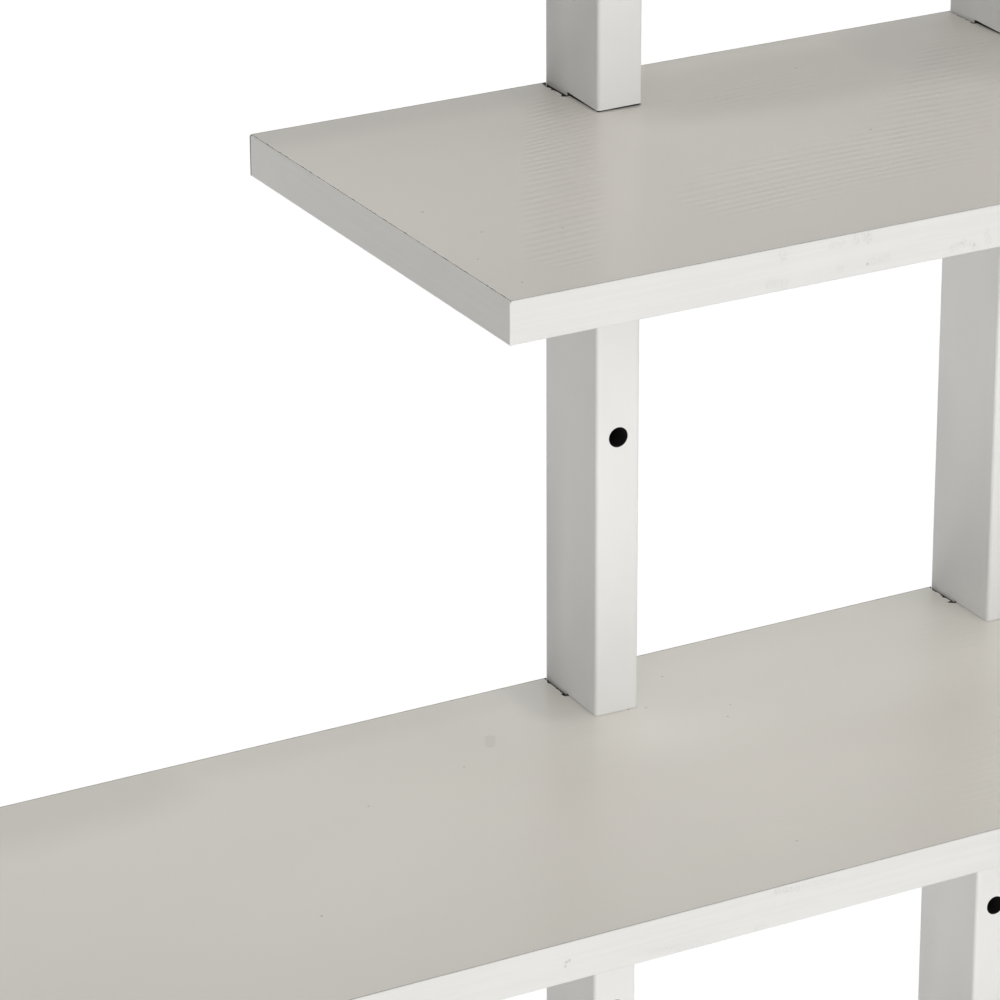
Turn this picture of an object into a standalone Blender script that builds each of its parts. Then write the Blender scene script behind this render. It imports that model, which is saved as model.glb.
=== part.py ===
"""A floating wall shelf: two slim posts carry staggered boards, half-lapped into slots in their fronts.

Lengths are in metres and +Z is up. The wall is the plane y = 0, and the shelf faces -Y.
The origin lies on the wall, midway between the posts and midway up them.
"""

import math

import bmesh
import bpy
from mathutils import Matrix, Vector

# Boards
SHELF_LENGTH = 0.650  # end to end, over the bands
SHELF_DEPTH = 0.200  # front to rear, over the bands
SHELF_THICKNESS = 0.016
SHELF_PITCH = 0.250  # from one board's top to the next one's top
SHORT_OVERHANG = 0.125  # from the nearer post's outer face to the board's near end
WALL_GAP = 0.0005  # the boards stop this far short of the wall, so that only the posts touch it

# Posts
POST_WIDTH = 0.019
POST_DEPTH = 0.042
POST_SPACING = 0.184  # from centre to centre
POST_OVERRUN = 0.067  # past the outer face of the top and the bottom board
POST_EDGE_RADIUS = 0.0015

# Half-lap joints: a slot in the post's front slides over a notch in the board's rear edge
LAP_DEPTH = 0.018  # post material left behind each slot
SLOT_FLOOR_GAP = 0.0003
SLOT_ROOF_GAP = 0.0005
NOTCH_SIDE_PLAY = 0.001
NOTCH_END_PLAY = 0.001
NOTCH_CORNER_RADIUS = 0.0025

# Edge bands
BAND_THICKNESS = 0.0005
BAND_EDGE_RADIUS = 0.0003
GLUE_LINE = 0.0002

# Stepped holes for the wall screws, halfway between the boards
WALL_HOLE_DIAMETER = 0.008  # wide front part, which the screw's head enters
WALL_HOLE_DEPTH = 0.020
WALL_SCREW_HOLE_DIAMETER = 0.005

# Countersunk screws, driven through the back of each post into the boards
SCREW_LENGTH = 0.035
SCREW_DIAMETER = 0.004
SCREW_TIP_LENGTH = 0.005
SCREW_HEAD_DIAMETER = 0.008
SCREW_HEAD_RIM = 0.0004
SCREW_HEAD_SINK = 0.0003  # below the post's back
SCREW_CLEARANCE = 0.0003
RECESS_LENGTH = 0.0042
RECESS_WIDTH = 0.0009
RECESS_DEPTH = 0.0016

# The boards from the top down, and the end that reaches far out past its post
SHELVES = [
    ("top_shelf", "left"),
    ("upper_shelf", "right"),
    ("lower_shelf", "left"),
    ("bottom_shelf", "right"),
]

# Fineness of round shapes, and how far a cutter passes the material that it cuts
ROUND_STEPS = 32
CORNER_STEPS = 4
BAND_EDGE_STEPS = 2
CUT_MARGIN = 0.005
WELD_DISTANCE = 1e-6
SMOOTH_ANGLE = math.radians(35)
SAME_WAY = 0.9  # two directions agree when their cosine is above this
ROUND_BEVEL = 0.5  # a bevel's profile for a true arc

# Values that follow from the sizes above
POST_X = {"left": -POST_SPACING / 2, "right": POST_SPACING / 2}
SHELF_RISE = SHELF_PITCH * (len(SHELVES) - 1) / 2
SHELF_LEVELS = [SHELF_RISE - SHELF_PITCH * index for index in range(len(SHELVES))]
WALL_HOLE_LEVELS = [level - SHELF_PITCH / 2 for level in SHELF_LEVELS[:-1]]
POST_TOP = SHELF_RISE + SHELF_THICKNESS / 2 + POST_OVERRUN
POST_CORE_TOP = POST_TOP - BAND_THICKNESS - GLUE_LINE
SHELF_REAR = -WALL_GAP
SHELF_FRONT = SHELF_REAR - SHELF_DEPTH
BAND_SHARE = BAND_THICKNESS + GLUE_LINE
NOTCH_END = -(LAP_DEPTH + NOTCH_END_PLAY)
NOTCH_HALF_WIDTH = POST_WIDTH / 2 + NOTCH_SIDE_PLAY
SHORT_REACH = POST_SPACING / 2 + POST_WIDTH / 2 + SHORT_OVERHANG
LONG_REACH = SHELF_LENGTH - SHORT_REACH

LEFT, RIGHT = Vector((-1, 0, 0)), Vector((1, 0, 0))
FRONT, BACK = Vector((0, -1, 0)), Vector((0, 1, 0))
DOWN, UP = Vector((0, 0, -1)), Vector((0, 0, 1))
TURN_TO_WALL = (-math.pi / 2, 0, 0)  # a turned piece's own +Z then points at the wall


def clear_scene():
    for old in list(bpy.data.objects):
        bpy.data.objects.remove(old, do_unlink=True)


def finish(name, colour, roughness, metallic=0.0):
    """A Principled BSDF material of one colour."""
    material = bpy.data.materials.new(name)
    material.use_nodes = True
    shader = material.node_tree.nodes["Principled BSDF"]
    shader.inputs["Base Color"].default_value = (*colour, 1)
    shader.inputs["Roughness"].default_value = roughness
    shader.inputs["Metallic"].default_value = metallic
    return material


def place(name, mesh, parent, location=(0, 0, 0), rotation=(0, 0, 0)):
    """An object that shows the mesh, set against its parent."""
    piece = bpy.data.objects.new(name, mesh)
    bpy.context.scene.collection.objects.link(piece)
    piece.parent = parent
    piece.location = location
    piece.rotation_euler = rotation
    return piece


def empty(name, parent=None, location=(0, 0, 0)):
    return place(name, None, parent, location)


def mesh_of(name, shape, material=None):
    """The finished mesh of a bmesh: normals point out, and round faces are smooth."""
    bmesh.ops.recalc_face_normals(shape, faces=shape.faces)
    mesh = bpy.data.meshes.new(name)
    shape.to_mesh(mesh)
    shape.free()
    mesh.shade_smooth()
    mesh.set_sharp_from_angle(angle=SMOOTH_ANGLE)
    if material:
        mesh.materials.append(material)
    return mesh


def prism(name, outline, bottom, top, material=None):
    """An outline in the XY plane, carried straight up from one height to another."""
    shape = bmesh.new()
    base = shape.faces.new([shape.verts.new((x, y, bottom)) for x, y in outline])
    raised = bmesh.ops.extrude_face_region(shape, geom=[base])["geom"]
    corners = [part for part in raised if isinstance(part, bmesh.types.BMVert)]
    bmesh.ops.translate(shape, verts=corners, vec=UP * (top - bottom))
    return mesh_of(name, shape, material)


def turned(name, profile, material=None):
    """A profile of (radius, height) points, spun once round the Z axis."""
    shape = bmesh.new()
    points = [shape.verts.new((radius, 0, height)) for radius, height in profile]
    edges = [shape.edges.new(pair) for pair in zip(points, points[1:])]
    bmesh.ops.spin(
        shape, geom=points + edges, cent=(0, 0, 0), axis=UP, angle=math.tau, steps=ROUND_STEPS
    )
    bmesh.ops.remove_doubles(shape, verts=shape.verts, dist=WELD_DISTANCE)
    return mesh_of(name, shape, material)


def block(low, high):
    """A bmesh box between two corners."""
    low, high = Vector(low), Vector(high)
    shape = bmesh.new()
    frame = Matrix.Translation((low + high) / 2) @ Matrix.Diagonal((*(high - low), 1))
    bmesh.ops.create_cube(shape, size=1, matrix=frame)
    return shape


def arc(centre, radius, start, end):
    """Points along a quarter arc in the plane, between two angles in degrees."""
    angles = [math.radians(start + (end - start) * step / CORNER_STEPS) for step in range(CORNER_STEPS + 1)]
    return [(centre[0] + radius * math.cos(a), centre[1] + radius * math.sin(a)) for a in angles]


def cutter(name, mesh, parent, location=(0, 0, 0), rotation=(0, 0, 0)):
    tool = place(name, mesh, parent, location, rotation)
    tool.hide_render = True
    tool.display_type = "WIRE"
    return tool


def cut(piece, tools):
    for tool in tools:
        difference = piece.modifiers.new(tool.name, "BOOLEAN")
        difference.operation = "DIFFERENCE"
        difference.solver = "EXACT"
        difference.object = tool


def band(name, low, high, outward, free_sides, material):
    """A strip glued to a board's edge. Its outer face is rounded along the sides that meet no other band."""
    shape = block(low, high)
    shape.normal_update()
    outer = max(shape.faces, key=lambda face: face.normal.dot(outward))
    centre = outer.calc_center_median()
    free_edges = []
    for edge in outer.edges:
        side = (edge.verts[0].co + edge.verts[1].co) / 2 - centre
        if any(side.normalized().dot(free) > SAME_WAY for free in free_sides):
            free_edges.append(edge)
    bmesh.ops.bevel(
        shape,
        geom=free_edges,
        offset=BAND_EDGE_RADIUS,
        segments=BAND_EDGE_STEPS,
        profile=ROUND_BEVEL,
        affect="EDGES",
    )
    return mesh_of(name, shape, material)


def post_outline():
    """A rectangle with rounded corners, its back on the wall."""
    inset = POST_WIDTH / 2 - POST_EDGE_RADIUS
    back = -POST_EDGE_RADIUS
    front = -POST_DEPTH + POST_EDGE_RADIUS
    return (
        arc((inset, back), POST_EDGE_RADIUS, 0, 90)
        + arc((-inset, back), POST_EDGE_RADIUS, 90, 180)
        + arc((-inset, front), POST_EDGE_RADIUS, 180, 270)
        + arc((inset, front), POST_EDGE_RADIUS, 270, 360)
    )


def notch_outline(centre):
    """One notch in a board's rear edge, from right to left, with a routed cut's round inner corners."""
    mouth = SHELF_REAR - BAND_SHARE
    right = centre + NOTCH_HALF_WIDTH
    left = centre - NOTCH_HALF_WIDTH
    turn = NOTCH_END + NOTCH_CORNER_RADIUS
    return (
        [(right, mouth)]
        + arc((right - NOTCH_CORNER_RADIUS, turn), NOTCH_CORNER_RADIUS, 0, -90)
        + arc((left + NOTCH_CORNER_RADIUS, turn), NOTCH_CORNER_RADIUS, -90, -180)
        + [(left, mouth)]
    )


def board_outline(left_end, right_end):
    """A board's core inside its bands, with a notch for each post."""
    front = SHELF_FRONT + BAND_SHARE
    rear = SHELF_REAR - BAND_SHARE
    left = left_end + BAND_SHARE
    right = right_end - BAND_SHARE
    notches = notch_outline(POST_X["right"]) + notch_outline(POST_X["left"])
    return [(left, front), (right, front), (right, rear)] + notches + [(left, rear)]


def screw_profile(clearance=0.0, stand=0.0):
    """Half of a countersunk screw from its head down, or of its hole: wider by the clearance all round."""
    head = SCREW_HEAD_DIAMETER / 2 + clearance
    shank = SCREW_DIAMETER / 2 + clearance
    cone_end = -SCREW_HEAD_RIM - (SCREW_HEAD_DIAMETER - SCREW_DIAMETER) / 2
    tip = -SCREW_LENGTH - clearance
    return [
        (0, stand),
        (head, stand),
        (head, -SCREW_HEAD_RIM),
        (shank, cone_end),
        (shank, tip + SCREW_TIP_LENGTH),
        (0, tip),
    ]


def wall_hole_profile():
    """Half of a stepped hole: narrow at the wall, and wide from the step to the post's front."""
    wide = WALL_HOLE_DIAMETER / 2
    narrow = WALL_SCREW_HOLE_DIAMETER / 2
    step = -POST_DEPTH + WALL_HOLE_DEPTH
    past_front = -POST_DEPTH - CUT_MARGIN
    return [
        (0, CUT_MARGIN),
        (narrow, CUT_MARGIN),
        (narrow, step),
        (wide, step),
        (wide, past_front),
        (0, past_front),
    ]


def screw_mesh(material):
    """A countersunk screw with a cross recess in its head."""
    blank = place("screw_blank", turned("screw", screw_profile(), material), None)
    arms = [(RECESS_LENGTH, RECESS_WIDTH), (RECESS_WIDTH, RECESS_LENGTH)]
    tools = []
    for number, (length, width) in enumerate(arms):
        corner = Vector((length / 2, width / 2, 0))
        arm = block(-corner + DOWN * RECESS_DEPTH, corner + UP * CUT_MARGIN)
        tools.append(cutter(f"recess_cutter_{number}", mesh_of("recess", arm), None))
    cut(blank, tools)
    graph = bpy.context.evaluated_depsgraph_get()
    mesh = bpy.data.meshes.new_from_object(blank.evaluated_get(graph))
    for helper in [blank, *tools]:
        bpy.data.objects.remove(helper)
    return mesh


def make_bands(shelf, parent, left_end, right_end, material):
    """The strips round a board: on the front, on each end, and in three lengths beside the rear notches."""
    low, high = -SHELF_THICKNESS / 2, SHELF_THICKNESS / 2
    front_in = SHELF_FRONT + BAND_THICKNESS
    rear_in = SHELF_REAR - BAND_THICKNESS
    end_front = front_in + GLUE_LINE
    end_rear = rear_in - GLUE_LINE
    left_notch = [POST_X["left"] - NOTCH_HALF_WIDTH, POST_X["left"] + NOTCH_HALF_WIDTH]
    right_notch = [POST_X["right"] - NOTCH_HALF_WIDTH, POST_X["right"] + NOTCH_HALF_WIDTH]
    long_sides = [UP, DOWN]
    strips = [
        ("front_band", (left_end, SHELF_FRONT), (right_end, front_in), FRONT, [LEFT, RIGHT]),
        ("left_band", (left_end, end_front), (left_end + BAND_THICKNESS, end_rear), LEFT, []),
        ("right_band", (right_end - BAND_THICKNESS, end_front), (right_end, end_rear), RIGHT, []),
        ("rear_band_left", (left_end, rear_in), (left_notch[0], SHELF_REAR), BACK, [LEFT]),
        ("rear_band_middle", (left_notch[1], rear_in), (right_notch[0], SHELF_REAR), BACK, []),
        ("rear_band_right", (right_notch[1], rear_in), (right_end, SHELF_REAR), BACK, [RIGHT]),
    ]
    for kind, near, far, outward, free_ends in strips:
        name = f"{shelf}_{kind}"
        mesh = band(name, (*near, low), (*far, high), outward, long_sides + free_ends, material)
        place(name, mesh, parent)


def make_shelf(shelf, long_side, parent, finishes, screw, screw_hole):
    """One board with its bands and its two screws. Returns the tools that cut the screw holes, by post."""
    long_left = long_side == "left"
    left_end = -LONG_REACH if long_left else -SHORT_REACH
    right_end = SHORT_REACH if long_left else LONG_REACH
    outline = board_outline(left_end, right_end)
    half = SHELF_THICKNESS / 2
    core = prism(f"{shelf}_board", outline, -half, half, finishes["board"])
    board = place(f"{shelf}_board", core, parent)
    make_bands(shelf, parent, left_end, right_end, finishes["band"])
    hole_tools = {}
    for side, x in POST_X.items():
        head = (x, -SCREW_HEAD_SINK, 0)
        place(f"{shelf}_{side}_screw", screw, parent, head, TURN_TO_WALL)
        hole_tools[side] = cutter(f"{shelf}_{side}_screw_hole", screw_hole, parent, head, TURN_TO_WALL)
    cut(board, hole_tools.values())
    return hole_tools


def make_post(side, parent, finishes, slot, wall_hole, screw_hole_tools):
    """One post with its slots, its holes and the bands that close its two ends."""
    outline = post_outline()
    stand = empty(f"{side}_post_stand", parent, (POST_X[side], 0, 0))
    core = prism(f"{side}_post", outline, -POST_CORE_TOP, POST_CORE_TOP, finishes["post"])
    post = place(f"{side}_post", core, stand)
    half_band = BAND_THICKNESS / 2
    cap = prism(f"{side}_post_end_band", outline, -half_band, half_band, finishes["band"])
    cap_level = POST_TOP - half_band
    place(f"{side}_post_top_band", cap, stand, (0, 0, cap_level))
    place(f"{side}_post_bottom_band", cap, stand, (0, 0, -cap_level))
    slot_tools = [
        cutter(f"{side}_post_slot_{number}", slot, stand, (0, 0, level))
        for number, level in enumerate(SHELF_LEVELS)
    ]
    hole_tools = [
        cutter(f"{side}_post_wall_hole_{number}", wall_hole, stand, (0, 0, level), TURN_TO_WALL)
        for number, level in enumerate(WALL_HOLE_LEVELS)
    ]
    cut(post, slot_tools + hole_tools + screw_hole_tools)


def slot_mesh():
    """The space that one board takes out of a post's front, with its floor and roof gaps."""
    half_width = POST_WIDTH / 2 + CUT_MARGIN
    floor = -SHELF_THICKNESS / 2 - SLOT_FLOOR_GAP
    roof = SHELF_THICKNESS / 2 + SLOT_ROOF_GAP
    return mesh_of(
        "slot", block((-half_width, -POST_DEPTH - CUT_MARGIN, floor), (half_width, -LAP_DEPTH, roof))
    )


def main():
    clear_scene()
    finishes = {
        "board": finish("white_grained_melamine", (0.75, 0.74, 0.71), 0.40),
        "band": finish("white_edge_band", (0.80, 0.80, 0.78), 0.45),
        "post": finish("white_wrapped_post", (0.80, 0.80, 0.78), 0.35),
        "screw": finish("zinc_plated_steel", (0.66, 0.67, 0.69), 0.35, 1.0),
    }
    shelf_unit = empty("floating_wall_shelf")
    screw = screw_mesh(finishes["screw"])
    screw_hole = turned("screw_hole", screw_profile(SCREW_CLEARANCE, CUT_MARGIN))
    wall_hole = turned("wall_hole", wall_hole_profile())
    slot = slot_mesh()

    screw_hole_tools = {side: [] for side in POST_X}
    for (shelf, long_side), level in zip(SHELVES, SHELF_LEVELS):
        parent = empty(shelf, shelf_unit, (0, 0, level))
        tools = make_shelf(shelf, long_side, parent, finishes, screw, screw_hole)
        for side, tool in tools.items():
            screw_hole_tools[side].append(tool)
    for side in POST_X:
        make_post(side, shelf_unit, finishes, slot, wall_hole, screw_hole_tools[side])


main()
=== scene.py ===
# %% [markdown]
# # A floating wall shelf
# Two slim white posts are screwed to a wall and carry four boards that step left and right. Each
# board has a notch in its rear edge, each post a slot in its front, and the two slide into each
# other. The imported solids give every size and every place, so this lesson only dresses them: each
# solid is replaced by a finer piece in the same place, with its own finish. Lengths are metres, the
# wall is the plane y = 0 and the shelf faces -Y.

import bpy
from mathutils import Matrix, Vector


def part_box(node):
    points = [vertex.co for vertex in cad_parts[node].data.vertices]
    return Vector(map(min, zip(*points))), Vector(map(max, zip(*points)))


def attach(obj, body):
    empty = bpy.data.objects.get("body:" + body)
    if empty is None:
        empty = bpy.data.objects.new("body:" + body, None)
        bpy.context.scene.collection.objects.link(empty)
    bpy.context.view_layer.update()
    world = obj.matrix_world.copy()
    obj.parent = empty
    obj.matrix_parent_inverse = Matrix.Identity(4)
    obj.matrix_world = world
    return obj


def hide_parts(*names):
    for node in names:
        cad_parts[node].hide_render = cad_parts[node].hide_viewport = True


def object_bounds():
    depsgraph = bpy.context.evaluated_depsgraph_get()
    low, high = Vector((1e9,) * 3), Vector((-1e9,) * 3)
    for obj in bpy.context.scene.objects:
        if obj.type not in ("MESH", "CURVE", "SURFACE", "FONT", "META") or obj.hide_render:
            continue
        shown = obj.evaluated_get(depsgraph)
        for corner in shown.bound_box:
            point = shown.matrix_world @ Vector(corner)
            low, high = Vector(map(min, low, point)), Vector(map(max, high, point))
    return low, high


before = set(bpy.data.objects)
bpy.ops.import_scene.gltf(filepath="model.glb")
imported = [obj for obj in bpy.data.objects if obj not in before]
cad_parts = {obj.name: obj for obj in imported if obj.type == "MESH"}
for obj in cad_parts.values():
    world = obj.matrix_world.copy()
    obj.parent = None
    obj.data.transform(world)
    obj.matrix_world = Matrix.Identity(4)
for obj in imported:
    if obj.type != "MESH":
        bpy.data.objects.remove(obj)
cad_box = [list(corner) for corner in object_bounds()]

import math

import bpy
import numpy as np
from mathutils import Matrix

print("solids:", len(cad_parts), "box:", np.round(cad_box, 4).tolist())

# %% [markdown]
# The sizes are read off the solids, so a change in the part reaches this scene by itself. Only what
# no solid's box can tell, such as how deep the joints reach, is written here as a named value. The
# photograph also shows that the posts stand a degree or less askew, so they get a turn about the
# upright.

# %% Measure the boards and the posts
SHELVES = ("top_shelf", "upper_shelf", "lower_shelf", "bottom_shelf")
SIDES = ("left", "right")
MM = 0.001


def corners(node):
    """A solid's lowest and highest corner, as two rows of x, y, z."""
    return np.array([list(corner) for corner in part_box(node)])


post_box = {side: corners(f"{side}_post") for side in SIDES}
post_x = {side: post_box[side][:, 0].mean() for side in SIDES}
post_half = (post_box["left"][1, 0] - post_box["left"][0, 0]) / 2
post_front = post_box["left"][0, 1]
board_box = {shelf: corners(f"{shelf}_board") for shelf in SHELVES}
board_level = {shelf: board_box[shelf][:, 2].mean() for shelf in SHELVES}
board_half = (board_box["top_shelf"][1, 2] - board_box["top_shelf"][0, 2]) / 2
LAP = 18 * MM
POST_TURN = {"left": math.radians(-1.0), "right": math.radians(0.4)}
hole_above = {low: (board_level[low] + board_level[high]) / 2 for high, low in zip(SHELVES, SHELVES[1:])}
print("post centres:", post_x, "board levels:", board_level, "wall holes:", hole_above)


def turned(points, side):
    """Points turned with their post about its middle line, then slid forward to clear the wall."""
    angle = POST_TURN[side]
    across = points[..., 0] - post_x[side]
    along = points[..., 1] - post_front / 2
    x = post_x[side] + across * math.cos(angle) - along * math.sin(angle)
    y = post_front / 2 + across * math.sin(angle) + along * math.cos(angle)
    return np.stack([x, y - post_half * abs(math.sin(angle)), points[..., 2]], axis=-1)

# %% [markdown]
# The photograph was taken from the left, a little above the upper board, with a long lens. Its
# place and its turn were found from the straight edges of the boards and posts. A turn is three
# angles: yaw to the right, pitch downwards, and a tiny roll.

# %% Set up the camera
CAMERA_PLACE = (-0.981915, -1.579333, 0.729323)
YAW = 0.49890
PITCH = 0.40225
ROLL = 0.00451
LENS = 179.488
SENSOR = 36.0


def camera_frame(place, yaw, pitch, roll):
    """A matrix with the camera's right, up and backward directions as columns, then its place."""
    flat = math.cos(pitch)
    ahead = np.array([math.sin(yaw) * flat, math.cos(yaw) * flat, -math.sin(pitch)])
    level = np.array([math.cos(yaw), -math.sin(yaw), 0.0])
    below = np.cross(ahead, level)
    right = math.cos(roll) * level + math.sin(roll) * below
    down = math.cos(roll) * below - math.sin(roll) * level
    matrix = np.eye(4)
    matrix[:3] = np.column_stack([right, -down, -ahead, place])
    return Matrix(matrix.tolist())


lens = bpy.data.cameras.new("photo_camera")
lens.lens = LENS
lens.sensor_width = SENSOR
photo_camera = bpy.data.objects.new("photo_camera", lens)
photo_camera.matrix_world = camera_frame(CAMERA_PLACE, YAW, PITCH, ROLL)
bpy.context.scene.collection.objects.link(photo_camera)
bpy.context.scene.camera = photo_camera
print("camera at", [round(value, 3) for value in photo_camera.location])

# %% [markdown]
# A finish is a web of shader nodes, and wiring it by hand is long. Here a socket is wrapped in a
# small class whose operators add Math nodes, so a pattern reads as a formula. Every other node
# comes from one method, add.

# %% Shader maths as formulas
MARK_CORE = 0.4


class Wire:
    """A socket that takes part in arithmetic: each operator adds one Math node and returns its result."""

    def __init__(self, finish, socket):
        self.finish = finish
        self.socket = socket

    def maths(self, operation, *values):
        return self.finish.add("Math", {"operation": operation}, dict(enumerate(values)))

    def __add__(self, other):
        return self.maths("ADD", self, other)

    __radd__ = __add__

    def __sub__(self, other):
        return self.maths("SUBTRACT", self, other)

    def __rsub__(self, other):
        return self.maths("SUBTRACT", other, self)

    def __mul__(self, other):
        return self.maths("MULTIPLY", self, other)

    __rmul__ = __mul__

    def sine(self):
        return self.maths("SINE", self)

    def size(self):
        return self.maths("ABSOLUTE", self)

    def folded(self, reach):
        """The value sent back and forth between nought and reach."""
        return self.maths("PINGPONG", self, reach)

    def wrapped(self, reach):
        """What is left of the value after taking away reach as often as it fits."""
        return self.maths("FLOORED_MODULO", self, reach)

    def most(self, other):
        return self.maths("MAXIMUM", self, other)


class Finish:
    """A material being wired. Its place is the Object coordinate, which here is the place in the room."""

    def __init__(self, name, **constants):
        self.material = bpy.data.materials.new(name)
        self.material.use_nodes = True
        self.tree = self.material.node_tree
        self.shader = self.tree.nodes["Principled BSDF"]
        for socket, value in constants.items():
            self.shader.inputs[socket.replace("_", " ")].default_value = value
        self.place = self.add("TexCoord", output="Object")

    def add(self, kind, settings=None, sockets=None, output=0):
        """Any node: its settings come first, then each socket gets a value or a link."""
        node = self.tree.nodes.new("ShaderNode" + kind)
        for name, value in (settings or {}).items():
            setattr(node, name, value)
        for key, value in (sockets or {}).items():
            self.feed(node.inputs[key], value)
        return Wire(self, node.outputs[output])

    def feed(self, socket, value):
        if isinstance(value, Wire):
            self.tree.links.new(value.socket, socket)
        else:
            socket.default_value = value

    def paint(self, **sockets):
        """Links what changes over the surface to the shader's own sockets."""
        for name, value in sockets.items():
            self.feed(self.shader.inputs[name.replace("_", " ")], value)
        print("finish", self.material.name, "with", len(self.tree.nodes), "nodes")
        return self.material

    def vector(self, operation, *values, output=0, **sockets):
        inputs = {**dict(enumerate(values)), **sockets}
        return self.add("VectorMath", {"operation": operation}, inputs, output)

    def axis(self, name):
        return self.add("SeparateXYZ", None, {0: self.place}, output=name)

    def noise(self, per_metre, detail=2.0, **sockets):
        """Soft random values about 0.5, with this many spots to the metre along x, y and z."""
        stretched = self.vector("MULTIPLY", self.place, per_metre)
        return self.add("TexNoise", None, {"Vector": stretched, "Scale": 1.0, "Detail": detail, **sockets})

    def step(self, value, start, end, low=0.0, high=1.0):
        """A smooth step: low where the value is under start, high where it is over end."""
        limits = {"From Min": start, "From Max": end, "To Min": low, "To Max": high}
        return self.add("MapRange", {"interpolation_type": "SMOOTHSTEP"}, {"Value": value, **limits})

    def spread(self, noise, low=0.0, high=1.0):
        """The values that a noise mostly takes, 0.3 to 0.7, spread smoothly from low to high."""
        return self.step(noise, 0.3, 0.7, low, high)

    def blend(self, share, first, second):
        """A colour between two colours."""
        return self.add("Mix", {"data_type": "RGBA"}, {0: share, 6: first, 7: second}, output=2)

    def marks(self, fars, sizes):
        """Soft marks by the distance from each, its radius and its strength: the strongest counts."""
        total = 0.0
        for far, (radius, strength) in zip(fars, sizes):
            total = self.step(far, MARK_CORE * radius, radius, strength, 0.0).most(total)
        return total

    def spots(self, rows):
        """Round marks, each given by its centre, radius and strength."""
        fars = [self.vector("DISTANCE", self.place, centre, output="Value") for *centre, _, _ in rows]
        return self.marks(fars, [row[-2:] for row in rows])

    def trails(self, rows):
        """Marks along straight lines, each given by its two ends, radius and strength."""
        fars = []
        for start, end, _, _ in rows:
            run = np.subtract(end, start)
            since = self.vector("SUBTRACT", self.place, start)
            share = self.vector("DOT_PRODUCT", since, run / (run @ run), output="Value")
            held = self.add("Clamp", None, {0: share})
            nearest = self.vector("SCALE", run, Scale=held)
            fars.append(self.vector("DISTANCE", since, nearest, output="Value"))
        return self.marks(fars, [row[-2:] for row in rows])

    def relief(self, height, depth):
        """A normal bent as if the surface rose by height times depth metres."""
        return self.add("Bump", None, {"Distance": depth, "Height": height})


def colour(red, green, blue):
    return (red, green, blue, 1.0)


# %% [markdown]
# The boards are chipboard faced with a white melamine film. The film was pressed against an
# engraved plate, so it carries long shallow ripples along the board, like a combed wood grain. They
# are far too shallow to model one by one, so a bump draws them: a sine across the board whose phase
# drifts slowly. Most of the film is almost flat, and the ripples stand out only along a few broad
# trails. Under a post's foot the film is painted near black, a painted shadow that shows as a fine
# line where the foot doesn't quite touch the board. By the wall, and in soft trails near the posts,
# the film is painted greyer as painted shade from the wall. Between the posts of the lower board it is
# painted a little paler as painted light.

# %% The boards' film
RIPPLE_PITCH = 4.4 * MM
RIPPLE_DEPTH = 0.055 * MM
RIPPLE_SLANT = 0.05
RIPPLE_DRIFT = 30 * MM
RIPPLE_SHIVER = 3.6 * MM
RIPPLE_FAINT = 0.06
BATCH_LOW = -0.12
BATCH_HIGH = 0.13
CLOUD_SHARE = 0.4
# Painted shade by the wall: the film greys over the last 30 mm before it.
WALL_SHADE_START = -30 * MM
WALL_SHADE_FULL = -2 * MM
WALL_SHADE_STRENGTH = 0.05
FILM_ROUGHNESS = (0.28, 0.30)
FILM_WARM = colour(0.753, 0.728, 0.664)
FILM_COOL = colour(0.745, 0.718, 0.673)
FILM_SPECK = colour(0.20, 0.17, 0.13)
# The next colour is painted shadow under a post's foot; the two after it are painted shade by the wall and
# painted light between the lower board's posts.
FILM_PAINTED_SHADOW = colour(0.03, 0.027, 0.022)
FILM_WALL_SHADE = colour(0.25, 0.24, 0.23)
FILM_PAINTED_LIGHT = colour(0.83, 0.81, 0.755)
TOP_FACE = 0.383
UPPER_FACE = 0.133
LOWER_FACE = -0.117
BOTTOM_FACE = -0.367
RIPPLE_TRAILS = [
    ((-0.110, -0.030, UPPER_FACE), (-0.188, -0.168, UPPER_FACE), 0.020, 1.05),
    ((-0.105, -0.142, UPPER_FACE), (-0.015, -0.134, UPPER_FACE), 0.036, 0.75),
    ((-0.015, -0.134, UPPER_FACE), (0.066, -0.045, UPPER_FACE), 0.032, 0.85),
    ((-0.070, -0.048, UPPER_FACE), (0.000, -0.045, UPPER_FACE), 0.024, 0.5),
    ((-0.122, -0.050, LOWER_FACE), (-0.175, -0.145, LOWER_FACE), 0.024, 0.5),
    ((0.060, -0.045, LOWER_FACE), (-0.010, -0.165, LOWER_FACE), 0.030, 0.55),
    ((-0.170, -0.165, LOWER_FACE), (-0.020, -0.165, LOWER_FACE), 0.030, 0.4),
    ((0.080, -0.100, TOP_FACE), (0.420, -0.120, TOP_FACE), 0.060, 0.8),
    ((0.080, -0.100, BOTTOM_FACE), (0.300, -0.120, BOTTOM_FACE), 0.060, 0.7),
]
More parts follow.
